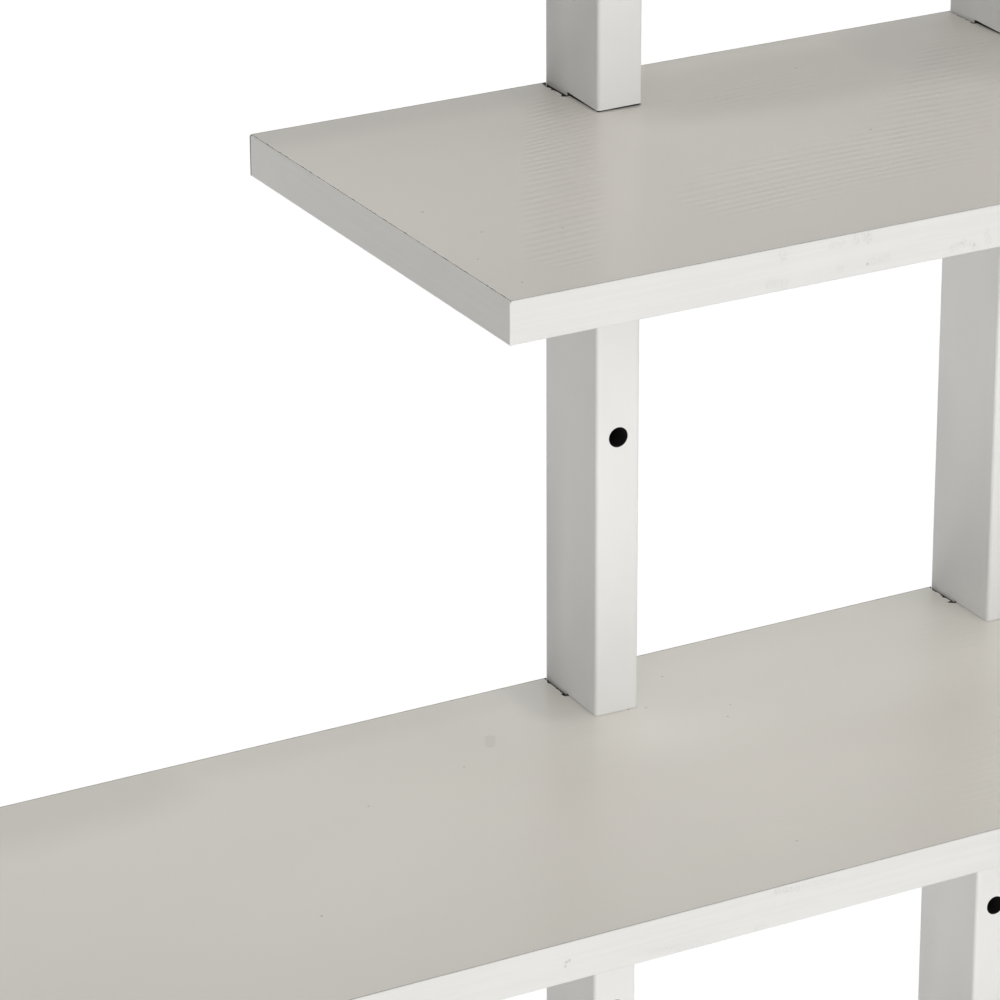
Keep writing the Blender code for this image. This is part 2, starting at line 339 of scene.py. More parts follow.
TOP_SPECKS = [
    (-0.2102, -0.1069, UPPER_FACE, 0.0007, 0.6),
    (-0.2019, -0.1354, UPPER_FACE, 0.0007, 0.5),
    (-0.2161, -0.1588, UPPER_FACE, 0.0006, 0.5),
    (-0.2138, -0.1861, UPPER_FACE, 0.0007, 0.4),
    (-0.0093, -0.0328, UPPER_FACE, 0.0007, 0.5),
    (-0.0236, -0.1084, UPPER_FACE, 0.0009, 0.5),
    (-0.1752, -0.1456, UPPER_FACE, 0.0008, 0.3),
    (-0.1682, -0.0561, LOWER_FACE, 0.0007, 0.4),
    (-0.0601, -0.0227, LOWER_FACE, 0.0007, 0.4),
    (-0.0803, -0.0446, LOWER_FACE, 0.0007, 0.4),
    (-0.0873, -0.0424, LOWER_FACE, 0.0007, 0.6),
    (-0.2158, -0.0682, LOWER_FACE, 0.0007, 0.4),
    (-0.2715, -0.1390, LOWER_FACE, 0.0008, 0.4),
    (-0.0563, -0.0671, LOWER_FACE, 0.0007, 0.4),
    (-0.0499, -0.0583, LOWER_FACE, 0.0006, 0.4),
    (-0.0894, -0.1719, LOWER_FACE, 0.0007, 0.4),
]
# Soft trails of painted shade along the wall and beside the posts.
WALL_SHADE_TRAILS = [
    ((-0.222, 0.004, UPPER_FACE), (-0.115, 0.004, UPPER_FACE), 0.034, 0.14),
    ((-0.108, -0.008, UPPER_FACE), (-0.108, -0.026, UPPER_FACE), 0.022, 0.12),
    ((-0.070, -0.040, UPPER_FACE), (0.045, -0.044, UPPER_FACE), 0.042, 0.15),
    ((0.050, -0.036, UPPER_FACE), (0.080, -0.050, UPPER_FACE), 0.054, 0.21),
    ((-0.420, 0.004, LOWER_FACE), (-0.300, 0.004, LOWER_FACE), 0.055, 0.16),
    ((-0.300, 0.004, LOWER_FACE), (-0.110, 0.004, LOWER_FACE), 0.030, 0.08),
    ((-0.108, -0.004, LOWER_FACE), (-0.108, -0.024, LOWER_FACE), 0.022, 0.17),
]
# A broad trail of painted light between the lower board's posts.
PAINTED_LIGHT_BAY = [((-0.080, -0.020, LOWER_FACE), (0.060, -0.022, LOWER_FACE), 0.090, 0.65)]
SMUDGE = [((-0.1503, -0.0442, LOWER_FACE), (-0.1471, -0.0383, LOWER_FACE), 0.0030, 0.12)]
# The soft edge and the lean of the painted shadow under the posts' feet.
FOOT_SHADOW_EDGE = 0.1 * MM
FOOT_SHADOW_LEAN = (POST_TURN["right"] - POST_TURN["left"]) / 2


def make_film():
    film = Finish("grained_melamine", IOR=1.5)
    drift = film.noise((5, 9, 9), detail=0.0)
    shiver = film.noise((18, 60, 9), detail=1.0)
    slanted = film.axis("Y") - film.axis("X") * RIPPLE_SLANT
    across = slanted + drift * RIPPLE_DRIFT + shiver * RIPPLE_SHIVER
    ripple = (across * (math.tau / RIPPLE_PITCH)).sine()
    broken = film.step(film.noise((80, 160, 9), detail=1.0), 0.3, 0.6, 0.4, 1.0)
    clear = film.trails(RIPPLE_TRAILS) * broken + RIPPLE_FAINT
    normal = film.relief(ripple * clear * 0.5, RIPPLE_DEPTH)
    clouds = film.noise((9, 26, 9), detail=3.0)
    batch = film.step(film.axis("Z"), BATCH_LOW, BATCH_HIGH)
    coolness = film.spread(clouds) * CLOUD_SHARE + batch * (1 - CLOUD_SHARE)
    ground = film.blend(coolness, FILM_WARM, FILM_COOL)
    # Painted light: the film is paler between the lower board's posts.
    lit_film = film.blend(film.trails(PAINTED_LIGHT_BAY), ground, FILM_PAINTED_LIGHT)
    # Painted shade: the film is greyer towards the wall and along the trails.
    wall_shade = film.step(film.axis("Y"), WALL_SHADE_START, WALL_SHADE_FULL, 0.0, WALL_SHADE_STRENGTH)
    wall_shaded = film.blend(wall_shade.most(film.trails(WALL_SHADE_TRAILS)), lit_film, FILM_WALL_SHADE)
    marks = film.spots(TOP_SPECKS).most(film.trails(SMUDGE))
    marked = film.blend(marks, wall_shaded, FILM_SPECK)
    # Painted shadow: the film under each post's foot is painted near black and seen through the gap.
    lean = (film.axis("Y") - post_front / 2) * FOOT_SHADOW_LEAN
    beside = (film.axis("X").size() - post_x["right"] + lean).size()
    within = film.step(beside, post_half - 2 * FOOT_SHADOW_EDGE, post_half - FOOT_SHADOW_EDGE, 1.0, 0.0)
    behind = film.step(film.axis("Y"), post_front + 3 * FOOT_SHADOW_EDGE, post_front + 4 * FOOT_SHADOW_EDGE)
    covered = behind * film.step(film.axis("Y"), -LAP - MM, -LAP, 1.0, 0.0)
    foot_shadowed = film.blend(within * covered, marked, FILM_PAINTED_SHADOW)
    shine = film.spread(clouds, *FILM_ROUGHNESS)
    return film.paint(Base_Color=foot_shadowed, Roughness=shine, Normal=normal)


film_finish = make_film()

# %% [markdown]
# The board's edges are closed with a half-millimetre plastic band, whiter and more neutral than the
# film. It is drawn from a roll and trimmed with a router, so fine streaks run along it, and where
# parts rubbed against each other in the box it has small grey scuffs. The streaks are noise that is
# long in x and y and very short in z.

# %% The edge bands
BAND_LIGHT = colour(0.80, 0.793, 0.766)
BAND_DARK = colour(0.775, 0.768, 0.741)
BAND_SCUFF = colour(0.42, 0.41, 0.39)
BAND_ROUGHNESS = (0.38, 0.46)
STREAK_DEPTH = 0.006 * MM
STREAK_SHARE = 0.6
BAND_SCUFFS = [
    ((-0.1186, 0.1310), (-0.1180, 0.1292), 0.0020, 0.24),
    ((-0.1240, 0.1205), (-0.1175, 0.1195), 0.0024, 0.20),
    ((-0.0985, 0.1302), (-0.0940, 0.1304), 0.0020, 0.18),
    ((-0.0886, 0.1320), (-0.0884, 0.1300), 0.0020, 0.26),
    ((-0.0845, 0.1320), (-0.0835, 0.1300), 0.0026, 0.36),
    ((-0.0955, 0.1207), (-0.0945, 0.1207), 0.0018, 0.20),
    ((-0.0820, 0.1212), (-0.0750, 0.1215), 0.0022, 0.18),
    ((-0.0480, 0.1200), (-0.0430, 0.1212), 0.0022, 0.24),
    ((-0.0400, 0.1203), (-0.0375, 0.1185), 0.0020, 0.20),
    ((-0.0335, 0.1235), (-0.0325, 0.1195), 0.0020, 0.20),
    ((-0.1690, -0.1300), (-0.1484, -0.1316), 0.0020, 0.14),
    ((-0.1240, -0.1314), (-0.1215, -0.1310), 0.0020, 0.16),
    ((-0.1166, -0.1185), (-0.1067, -0.1193), 0.0016, 0.30),
    ((-0.1054, -0.1187), (-0.0915, -0.1195), 0.0016, 0.16),
]
BAND_DOTS = [
    (-0.0835, 0.1206, 0.0007, 0.6),
    (-0.0438, 0.1212, 0.0006, 0.4),
    (-0.0387, 0.1197, 0.0008, 0.4),
    (-0.2047, -0.1262, 0.0008, 0.40),
    (-0.2043, -0.1246, 0.0009, 0.45),
    (-0.2030, -0.1243, 0.0009, 0.40),
]


def dots_on_front(rows):
    """Dots given by x, z, radius and strength, laid on the front bands' outer face."""
    return [(x, cad_box[0][1], z, radius, strength) for x, z, radius, strength in rows]


def scuffs_on_front(rows):
    """Scuffs given by the x and z of both ends, radius and strength, laid on the same face."""
    front = cad_box[0][1]
    return [((a, front, b), (c, front, d), *sizes) for (a, b), (c, d), *sizes in rows]


def make_band_finish():
    band = Finish("edge_band", IOR=1.5)
    streaks = band.noise((14, 14, 620), detail=3.0)
    clouds = band.noise((30, 30, 60), detail=2.0)
    tone = band.step(streaks * STREAK_SHARE + clouds * (1 - STREAK_SHARE), 0.38, 0.62)
    crumbs = band.step(band.noise((1700, 1700, 1100), detail=2.0), 0.37, 0.70)
    scuffs = band.trails(scuffs_on_front(BAND_SCUFFS)) * crumbs
    worn = scuffs.most(band.spots(dots_on_front(BAND_DOTS)))
    ground = band.blend(tone, BAND_DARK, BAND_LIGHT)
    scuffed = band.blend(worn, ground, BAND_SCUFF)
    normal = band.relief(streaks, STREAK_DEPTH)
    shine = band.spread(streaks, *BAND_ROUGHNESS)
    return band.paint(Base_Color=scuffed, Roughness=shine, Normal=normal)


band_finish = make_band_finish()

# %% [markdown]
# The posts are strips of fibreboard wrapped in a smooth satin foil. Up close the foil is not quite
# flat: it has the faint skin of the glue under it. Two noises of different size give it that skin
# and a slight mottle. Inside the boards' notches the sides of the posts are painted darker, more so
# the deeper one looks into the gap: painted shade. Painted shade also greys them in the corner above
# a board, close to the wall. It is stronger on the left post.

# %% The posts' foil
FOIL_LIGHT = colour(0.818, 0.816, 0.801)
FOIL_DARK = colour(0.798, 0.794, 0.777)
# The colour of the painted shade in the notches and in the corners by the wall.
FOIL_PAINTED_SHADE = colour(0.05, 0.046, 0.038)
FOIL_ROUGHNESS = (0.31, 0.39)
SKIN_DEPTH = 0.006 * MM
# Painted shade in the gap: it deepens from 0.1 mm to 0.9 mm below the board's face.
GAP_SHADE_START = 0.1 * MM
GAP_SHADE_FULL = 0.9 * MM
BACK_START = -1.5 * MM
BACK_CLEAN = -0.5 * MM
# Painted shade in the corner above each board, close to the wall, stronger on the left post.
CORNER_SHADE_FULL_HEIGHT = 0.06
CORNER_SHADE_TOP = 0.13
CORNER_SHADE_START = -20 * MM
CORNER_SHADE_FULL = -2 * MM
CORNER_SHADE_LEFT = 0.18
CORNER_SHADE_RIGHT = 0.06
shelf_pitch = board_level["top_shelf"] - board_level["upper_shelf"]


def make_foil():
    foil = Finish("post_foil", IOR=1.5)
    mottle = foil.noise((45, 45, 20), detail=3.0)
    skin = foil.noise((420, 420, 300), detail=2.0)
    ground = foil.blend(foil.spread(mottle), FOIL_DARK, FOIL_LIGHT)
    # Painted shade on the post's sides inside a notch, darker deeper into the gap.
    swing = foil.axis("Z").folded(shelf_pitch / 2)
    board_face = shelf_pitch / 2 - board_half
    sunk = foil.step(swing, board_face + GAP_SHADE_START, board_face + GAP_SHADE_FULL)
    off_back = foil.step(foil.axis("Y"), BACK_START, BACK_CLEAN, 1.0, 0.0)
    # Painted shade in the corner above each board, near the wall.
    above = (foil.axis("Z") - board_level["upper_shelf"] - board_half).wrapped(shelf_pitch)
    low_down = foil.step(above, CORNER_SHADE_FULL_HEIGHT, CORNER_SHADE_TOP, 1.0, 0.0)
    corner = low_down * foil.step(foil.axis("Y"), CORNER_SHADE_START, CORNER_SHADE_FULL)
    left_half = post_x["left"] / 2
    right_half = post_x["right"] / 2
    corner_shade = corner * foil.step(foil.axis("X"), left_half, right_half, CORNER_SHADE_LEFT, CORNER_SHADE_RIGHT)
    shaded_foil = foil.blend(sunk.most(corner_shade) * off_back, ground, FOIL_PAINTED_SHADE)
    normal = foil.relief(skin, SKIN_DEPTH)
    shine = foil.spread(mottle * 0.5 + skin * 0.5, *FOIL_ROUGHNESS)
    return foil.paint(Base_Color=shaded_foil, Roughness=shine, Normal=normal)


foil_finish = make_foil()

# %% [markdown]
# Where the factory cut, the inside shows: coarse pale chips in the boards' notches, even brown
# fibre in the posts' slots. Little of it is in sight, but it colours the gaps. Both are set much darker
# than bare chipboard and fibre, as painted shade of the narrow gaps. The wall-screw bores are painted
# a matt near black inside, as painted shade over the fibre.

# %% The cut cores and the bores
# The cores' colours are set far darker than bare chipboard and fibre, as painted shade in the gaps; the
# bore's near black is painted shade.
CHIP_PALE = colour(0.22, 0.16, 0.10)
CHIP_DARK = colour(0.08, 0.055, 0.035)
FIBRE_PALE = colour(0.12, 0.09, 0.06)
FIBRE_DARK = colour(0.07, 0.05, 0.034)
BORE_BLACK = colour(0.006, 0.006, 0.006)
BORE_GREY = colour(0.012, 0.0115, 0.011)
CORE_ROUGHNESS = (0.75, 0.95)


def make_core(name, per_metre, depth, pale, dark):
    core = Finish(name, IOR=1.45)
    grains = core.noise(per_metre, detail=3.0, Distortion=0.6)
    tone = core.step(grains, 0.35, 0.65)
    ground = core.blend(tone, dark, pale)
    rough = core.spread(grains, *CORE_ROUGHNESS)
    return core.paint(Base_Color=ground, Roughness=rough, Normal=core.relief(grains, depth))


chip_core_and_shade = make_core("chipboard_core_and_shade", (350, 350, 900), 0.3 * MM, CHIP_PALE, CHIP_DARK)
fibre_core_and_shade = make_core("fibreboard_core_and_shade", (1500, 1500, 2600), 0.1 * MM, FIBRE_PALE, FIBRE_DARK)
bore_shade_finish = make_core("bore_painted_shade", (2000, 400, 2000), 0.05 * MM, BORE_GREY, BORE_BLACK)

# %% [markdown]
# The screws behind the posts are zinc-plated steel: a bright metal with a faint bluish cloud in its
# polish.

# %% The screws' zinc
ZINC_BRIGHT = colour(0.66, 0.67, 0.69)
ZINC_DULL = colour(0.50, 0.52, 0.55)
ZINC_ROUGHNESS = (0.42, 0.24)


def make_zinc():
    zinc = Finish("zinc_plating", Metallic=1.0)
    clouds = zinc.noise((500, 900, 500), detail=3.0)
    ground = zinc.blend(zinc.spread(clouds), ZINC_DULL, ZINC_BRIGHT)
    return zinc.paint(Base_Color=ground, Roughness=zinc.spread(clouds, *ZINC_ROUGHNESS))


zinc_finish = make_zinc()

# %% [markdown]
# Nearly every piece is a profile carried along a path: a board's outline carried up through its
# thickness, a band's section carried along its edge, a post's section carried up the wall. One
# helper joins such rings of points into faces, and another turns faces into a piece that rides on
# the body and stands for its solid.

# %% Helpers that turn rings of points into pieces
SMOOTH_ANGLE = math.radians(32)


def strip_faces(rings):
    """Four-sided faces between rows of point numbers: a point, the next one round, and the two above."""
    after = np.roll(rings, -1, axis=1)
    return np.stack([rings[:-1], after[:-1], after[1:], rings[1:]], axis=-1)


def carried(rings):
    """A closed profile carried along a path: points, side faces by ring, and the two end faces."""
    number = np.arange(rings.shape[0] * rings.shape[1]).reshape(rings.shape[:2])
    return rings.reshape(-1, 3), strip_faces(number), number[0, ::-1], number[-1]


def only_used(points, faces):
    """The points that some face uses, and the faces with those points numbered afresh."""
    used, renumbered = np.unique(np.concatenate(faces), return_inverse=True)
    ends = np.cumsum([len(face) for face in faces])[:-1]
    return points[used], [face.tolist() for face in np.split(renumbered, ends)]


def make_piece(node, points, faces, finishes, finish_of_face):
    """A mesh in its place that stands for a solid. Its soft bends are shaded smooth."""
    points, faces = only_used(points, faces)
    mesh = bpy.data.meshes.new(f"{node}_finished")
    mesh.from_pydata(points.tolist(), [], faces)
    for finish in finishes:
        mesh.materials.append(finish)
    mesh.polygons.foreach_set("material_index", np.asarray(finish_of_face, dtype=np.int32))
    mesh.update()
    mesh.shade_smooth()
    mesh.set_sharp_from_angle(angle=SMOOTH_ANGLE)
    piece = bpy.data.objects.new(f"{node}_finished", mesh)
    bpy.context.scene.collection.objects.link(piece)
    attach(piece, "root")
    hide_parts(node)
    return piece


def wander(along, pitch, seed):
    """A smooth random line between -1 and 1: random knots one pitch apart, joined by a cubic ease."""
    spot = (along - along.min()) / pitch
    first = np.floor(spot).astype(int)
    knots = np.random.default_rng(seed).uniform(-1, 1, first.max() + 2)
    share = spot - first
    ease = share * share * (3 - 2 * share)
    return knots[first] * (1 - ease) + knots[first + 1] * ease


def arc(centre, radius, start, end, steps):
    """Points on an arc about a centre, between two angles in degrees."""
    angle = np.radians(np.linspace(start, end, steps + 1))
    return np.column_stack([centre[0] + radius * np.cos(angle), centre[1] + radius * np.sin(angle)])


# %% [markdown]
# A board is its outline carried up through its thickness. The saw and the router leave the film's
# edge slightly ragged, most of all in the notches and along the ends, so the outline is walked in
# small steps and pushed inwards by chips: shallow bites with random place, width and depth. The
# cutter swung out in the notch corners.

# %% Make the boards
NOTCH_PLAY = 0.8 * MM
NOTCH_PLAYS = {
    ("upper_shelf", "left"): 1.6 * MM,
    ("lower_shelf", "left"): 0.9 * MM,
    ("lower_shelf", "right"): 1.2 * MM,
}
NOTCH_END = -19 * MM
RELIEF_RADIUS = 1.5 * MM
RELIEF_INSET = 0.7 * MM
RELIEF_LEVEL = -18.2 * MM
RELIEF_STEPS = 14
NOTCH_STEP = 0.2 * MM
EDGE_STEP = 0.5 * MM
FRONT_CHIPS = (60, 0.06 * MM, 3 * MM)
END_CHIPS = (700, 0.27 * MM, 1.5 * MM)
REAR_CHIPS = (150, 0.15 * MM, 1.5 * MM)
NOTCH_CHIP_COUNT = 600
NOTCH_CHIP_WIDTH = 1.3 * MM
BOARD_SEED = 100


def chips(along, seed, per_metre, depth, width):
    """How far the edge is bitten away along its length: the deepest of many rounded bites."""
    length = along[-1]
    random = np.random.default_rng(seed)
    count = max(1, round(length * per_metre))
    centre = random.uniform(0, length, count)
    reach = random.uniform(0.3, 1.0, count) * width
    bite = random.uniform(0.2, 1.0, count) ** 2 * depth
    away = (along[:, None] - centre) / reach
    fade = np.clip(np.minimum(along, length - along) / width, 0, 1)
    return (bite * np.clip(1 - away * away, 0, 1)).max(axis=1) * fade


def walked(corner_points, step):
    """The same line with points one step apart, and how far along it each one lies."""
    corner_points = np.asarray(corner_points, dtype=float)
    lengths = np.linalg.norm(np.diff(corner_points, axis=0), axis=1)
    reached = np.concatenate([[0], np.cumsum(lengths)])
    along = np.linspace(0, reached[-1], max(2, round(reached[-1] / step) + 1))
    line = np.column_stack([np.interp(along, reached, corner_points[:, axis]) for axis in (0, 1)])
    return line, along


def chipped_edge(corner_points, step, seed, per_metre, depth, width):
    """A line of the outline, walked with the board on its left and pushed inwards by its chips."""
    line, along = walked(corner_points, step)
    ahead = np.gradient(line, axis=0)
    ahead /= np.linalg.norm(ahead, axis=1, keepdims=True)
    inwards = np.column_stack([-ahead[:, 1], ahead[:, 0]])
    return (line + inwards * chips(along, seed, per_metre, depth, width)[:, None])[:-1]


def notch_line(side, play, mouth):
    """A notch from its right lip to its left lip. Its two inner corners are bored out by a small cutter."""
    half = post_half + play
    left = post_x[side] - half
    right = post_x[side] + half
    start = math.degrees(math.acos(RELIEF_INSET / RELIEF_RADIUS))
    end = math.degrees(math.asin((NOTCH_END - RELIEF_LEVEL) / RELIEF_RADIUS))
    first = arc((right - RELIEF_INSET, RELIEF_LEVEL), RELIEF_RADIUS, start, -180 - end, RELIEF_STEPS)
    second = arc((left + RELIEF_INSET, RELIEF_LEVEL), RELIEF_RADIUS, end, -180 - start, RELIEF_STEPS)
    return np.vstack([[(right, mouth)], first, second, [(left, mouth)]])


def board_outline(shelf, seed):
    """A board's edge as seen from above, from its front left corner round to the right."""
    (left, front, _), (right, rear, _) = board_box[shelf]
    play = {side: NOTCH_PLAYS.get((shelf, side), NOTCH_PLAY) for side in SIDES}
    notches = {side: notch_line(side, play[side], rear) for side in SIDES}
    lips = {side: notches[side][[0, -1]] for side in SIDES}
    bites = {side: (NOTCH_CHIP_COUNT, play[side], NOTCH_CHIP_WIDTH) for side in SIDES}
    edges = [
        chipped_edge([(left, front), (right, front)], 2 * EDGE_STEP, seed, *FRONT_CHIPS),
        chipped_edge([(right, front), (right, rear)], EDGE_STEP, seed + 1, *END_CHIPS),
        chipped_edge([(right, rear), lips["right"][0]], EDGE_STEP, seed + 2, *REAR_CHIPS),
        chipped_edge(notches["right"], NOTCH_STEP, seed + 3, *bites["right"]),
        chipped_edge([lips["right"][1], lips["left"][0]], EDGE_STEP, seed + 4, *REAR_CHIPS),
        chipped_edge(notches["left"], NOTCH_STEP, seed + 5, *bites["left"]),
        chipped_edge([lips["left"][1], (left, rear)], EDGE_STEP, seed + 6, *REAR_CHIPS),
        chipped_edge([(left, rear), (left, front)], EDGE_STEP, seed + 7, *END_CHIPS),
    ]
    return np.vstack(edges)


def make_board(shelf, seed):
    """The outline as two rings, at the board's lower and upper face: film on both, chips all round."""
    outline = board_outline(shelf, seed)
    low, high = board_box[shelf][:, 2]
    rings = np.stack([np.insert(outline, 2, height, axis=1) for height in (low, high)])
    points, sides, bottom, top = carried(rings)
    faces = sides.reshape(-1, 4).tolist() + [bottom.tolist(), top.tolist()]
    finish_of_face = [1] * (len(faces) - 2) + [0, 0]
    finishes = [film_finish, chip_core_and_shade]
    return make_piece(f"{shelf}_board", points, faces, finishes, finish_of_face)


for number, shelf in enumerate(SHELVES):
    board = make_board(shelf, BOARD_SEED * (number + 1))
    print(board.name, len(board.data.polygons), "faces")

# %% [markdown]
# A band is a thin rounded section carried along the board's edge. The trimming cutter rounds its
# two long edges, and never quite evenly, so the radius wanders a little on the way. At a free end
# the outer face falls back along a quarter circle, and the band's upper corner is rounded off by
# hand.

# %% Make the edge bands
BAND_RADIUS = 0.3 * MM
BAND_RADIUS_SWING = 0.06 * MM
BAND_RADIUS_PITCH = 35 * MM
BAND_RADIUS_SHARE = 0.9
CORNER_RADIUS = 1.2 * MM
END_RADIUS = 0.45 * MM
BAND_TRIM = 0.02 * MM
BAND_STATION = 5 * MM
END_STATIONS = 9
BAND_ARC_STEPS = 4
HOLD = 0.15 * MM
BAND_SEED = 1000


def quarter_fall(near, radius):
    """How far a quarter circle of this radius has fallen back, by the distance from the end."""
    inside = np.clip(radius - near, 0, radius)
    return radius - np.sqrt(radius**2 - inside**2)


def band_stations(start, end, rounded):
    """Places along a band, closer by a rounded end, and how far each is from the nearest such end."""
    count = max(2, round((end - start) / BAND_STATION) + 1)
    turn = CORNER_RADIUS * (1 - np.cos(np.linspace(0, np.pi / 2, END_STATIONS)))
    middle = np.linspace(start + 2 * CORNER_RADIUS, end - 2 * CORNER_RADIUS, count)
    first = start + turn if "start" in rounded else [start]
    last = end - turn[::-1] if "end" in rounded else [end]
    places = np.concatenate([first, middle, last])
    near = np.full(len(places), np.inf)
    near = np.minimum(near, places - start) if "start" in rounded else near
    near = np.minimum(near, end - places) if "end" in rounded else near
    return places, near


def band_section(thick, low, high, radius):
    """Sections of a band as (outwards, height) points: flat inside, rounded at the outer top and bottom."""
    quarter = np.linspace(0, np.pi / 2, BAND_ARC_STEPS + 1)
    out = thick[:, None] - radius[:, None] * (1 - np.sin(quarter))
    rise = radius[:, None] * (1 - np.cos(quarter))
    zero = np.zeros((len(thick), 1))
    full = thick[:, None]
    outwards = np.hstack([zero, out, full, full, out[:, ::-1], zero])
    lower = np.hstack([zero, rise, radius[:, None] + HOLD])
    height = np.hstack([low[:, None] + lower, (high[:, None] - lower)[:, ::-1]])
    return outwards, height


def beside_post(side, hand):
    """The x where a rear band ends just short of a post, on its left or right hand (-1 or 1)."""
    spot = np.array([post_x[side] + hand * (post_half + BAND_TRIM), 0.0, 0.0])
    return turned(spot, side)[0]


def make_band(node, run, outward, rounded, trimmed, seed):
    """A band that runs along axis 0 or 1 and faces along the other one, in the sense of outward."""
    low, high = corners(node)
    face = 1 - run
    ends = {0: low[run], 1: high[run], **trimmed}
    places, near = band_stations(ends[0], ends[1], rounded)
    thick = (high[face] - low[face]) - quarter_fall(near, END_RADIUS)
    uneven = BAND_RADIUS + BAND_RADIUS_SWING * wander(places, BAND_RADIUS_PITCH, seed)
    radius = np.minimum(uneven, thick * BAND_RADIUS_SHARE)
    top = high[2] - quarter_fall(near, CORNER_RADIUS)
    outwards, height = band_section(thick, np.full(len(places), low[2]), top, radius)
    inner = high[face] if outward < 0 else low[face]
    rings = np.empty(outwards.shape + (3,))
    rings[..., run] = places[:, None]
    rings[..., face] = inner + outward * outwards
    rings[..., 2] = height
    if (run == 0) == (outward < 0):
        rings = rings[::-1]
    points, sides, first, last = carried(rings)
    faces = sides.reshape(-1, 4).tolist() + [first.tolist(), last.tolist()]
    # The inner, glued face takes the dark chip finish: painted shade, seen where a band passes a notch's
    # gap.
    glued = np.zeros(sides.shape[:2], dtype=int)
    glued[:, -1] = 1
    finishes = [band_finish, chip_core_and_shade]
    return make_piece(node, points, faces, finishes, [*glued.ravel(), 0, 0])


BANDS = {
    "front_band": (0, -1, ("start", "end"), {}),
    "left_band": (1, -1, ("end",), {}),
    "right_band": (1, 1, ("end",), {}),
    "rear_band_left": (0, 1, ("start",), {1: beside_post("left", -1)}),
    "rear_band_middle": (0, 1, (), {0: beside_post("left", 1), 1: beside_post("right", -1)}),
    "rear_band_right": (0, 1, ("end",), {0: beside_post("right", 1)}),
}
for number, shelf in enumerate(SHELVES):
    for kind, (run, outward, rounded, trimmed) in BANDS.items():
        make_band(f"{shelf}_{kind}", run, outward, rounded, trimmed, BAND_SEED + 10 * number)
    print(shelf, "has", len(BANDS), "bands")

# %% [markdown]
# A post's section is a rectangle with rounded corners, carried from its foot to its head. At each
# board the front of the section steps back to the web that is left behind the slot, and steps
# forward again above it. The bores are rings too: a square patch of the grid is left open on both
# faces and joined through the post. No post stands quite square to the wall, so each one is turned
# in its notches, together with its screws and ends.

# %% A post's section and its rows
POST_RADIUS = 1.5 * MM
POST_ARC_STEPS = 7
PATCH_HALF = 5 * MM
PATCH_STEPS = 8
FLOOR_GAP = 0.3 * MM
FOOT_GAPS = {
    "top_shelf": (0.7, 0.4, 0.6),
    "upper_shelf": (1.1, 0.45, 0.85),
    "lower_shelf": (0.2, 0.14, 0.1),
    "bottom_shelf": (0.6, 0.35, 0.4),
}
patch = np.linspace(-PATCH_HALF, PATCH_HALF, PATCH_STEPS + 1)


def post_sections():
    """The full section and the web's with matching points, and where their patch columns start."""
    flat = post_half - POST_RADIUS
    turn = post_front + POST_RADIUS
    columns = np.concatenate([[-flat + HOLD], patch, [flat - HOLD]])
    back = np.column_stack([columns[::-1], np.zeros(len(columns))])
    front = np.column_stack([columns, np.full(len(columns), post_front)])
    rear_part = np.vstack(
        [
            [(post_half, -LAP), (post_half, -POST_RADIUS - HOLD)],
            arc((flat, -POST_RADIUS), POST_RADIUS, 0, 90, POST_ARC_STEPS),
            back,
            arc((-flat, -POST_RADIUS), POST_RADIUS, 90, 180, POST_ARC_STEPS),
            [(-post_half, -POST_RADIUS - HOLD), (-post_half, -LAP)],
        ]
    )
    corner = arc((-flat, turn), POST_RADIUS, 180, 270, POST_ARC_STEPS)
    front_left = np.vstack([[(-post_half, turn + HOLD)], corner])
    front_right = front_left[::-1] * (-1, 1)
    front_part = np.vstack([front_left, front, front_right])
    spread = np.linspace(-post_half, -flat, len(front_left) + 1)[1:]
    web_x = np.concatenate([spread, columns, -spread[::-1]])
    web_part = np.column_stack([web_x, np.full(len(web_x), -LAP)])
    full = np.vstack([rear_part, front_part])
    web = np.vstack([rear_part, web_part])
    rear_column = 2 + len(corner) + 1
    front_column = len(rear_part) + len(front_left) + 1
    return full, web, rear_column, front_column, len(rear_part)


def post_rows(low, high):
    """Heights of a post's rings from below, whether each is the web's, and each bore's first row.

    Above a board the post stands on a foot whose gap differs at the rear, the front left and the
    front right, so that ring also gets a tilt: how much its front left and right lie above its rear.
    """
    heights, is_web, tilts, bores = [low], [False], {}, []
    for shelf in reversed(SHELVES):
        level = board_level[shelf]
        gaps = np.array(FOOT_GAPS[shelf]) * MM
        floor = level - board_half - FLOOR_GAP
        roof = level + board_half + gaps[0]
        bores.append(("screw", len(heights) + 2, level))
        heights += [floor, floor, *(level + patch), roof, roof]
        is_web += [False] + [True] * (len(patch) + 2) + [False]
        tilts[len(heights) - 1] = gaps[1:] - gaps[0]
        if shelf in hole_above:
            bores.append(("wall", len(heights), hole_above[shelf]))
            heights += list(hole_above[shelf] + patch)
            is_web += [False] * len(patch)
    return np.array(heights + [high]), np.array(is_web + [False]), tilts, bores


full_section, web_section, rear_column, front_column, rear_count = post_sections()
print("a post's section has", len(full_section), "points")

# %% [markdown]
# The wall screws pass through stepped bores: wide at the front for the screw's head, narrow behind
# it. The screws that hold the boards come from the back, through a countersunk bore in the web.
# Each bore is a list of rings from the back to the front, given by radius and depth.

# %% Bores through a post
STEP_DEPTH = 20.0
FRONT_DEPTH = post_front / MM
BORE_RINGS = {
    "wall": [
        (2.6, 0.0),
        (2.5, -0.1),
        (2.5, FRONT_DEPTH + STEP_DEPTH),
        (4.0, FRONT_DEPTH + STEP_DEPTH),
        (4.0, FRONT_DEPTH + 0.15),
        (4.15, FRONT_DEPTH),
    ],
    "screw": [(4.3, 0.0), (4.3, -0.7), (2.3, -2.7), (2.3, -18.0)],
}


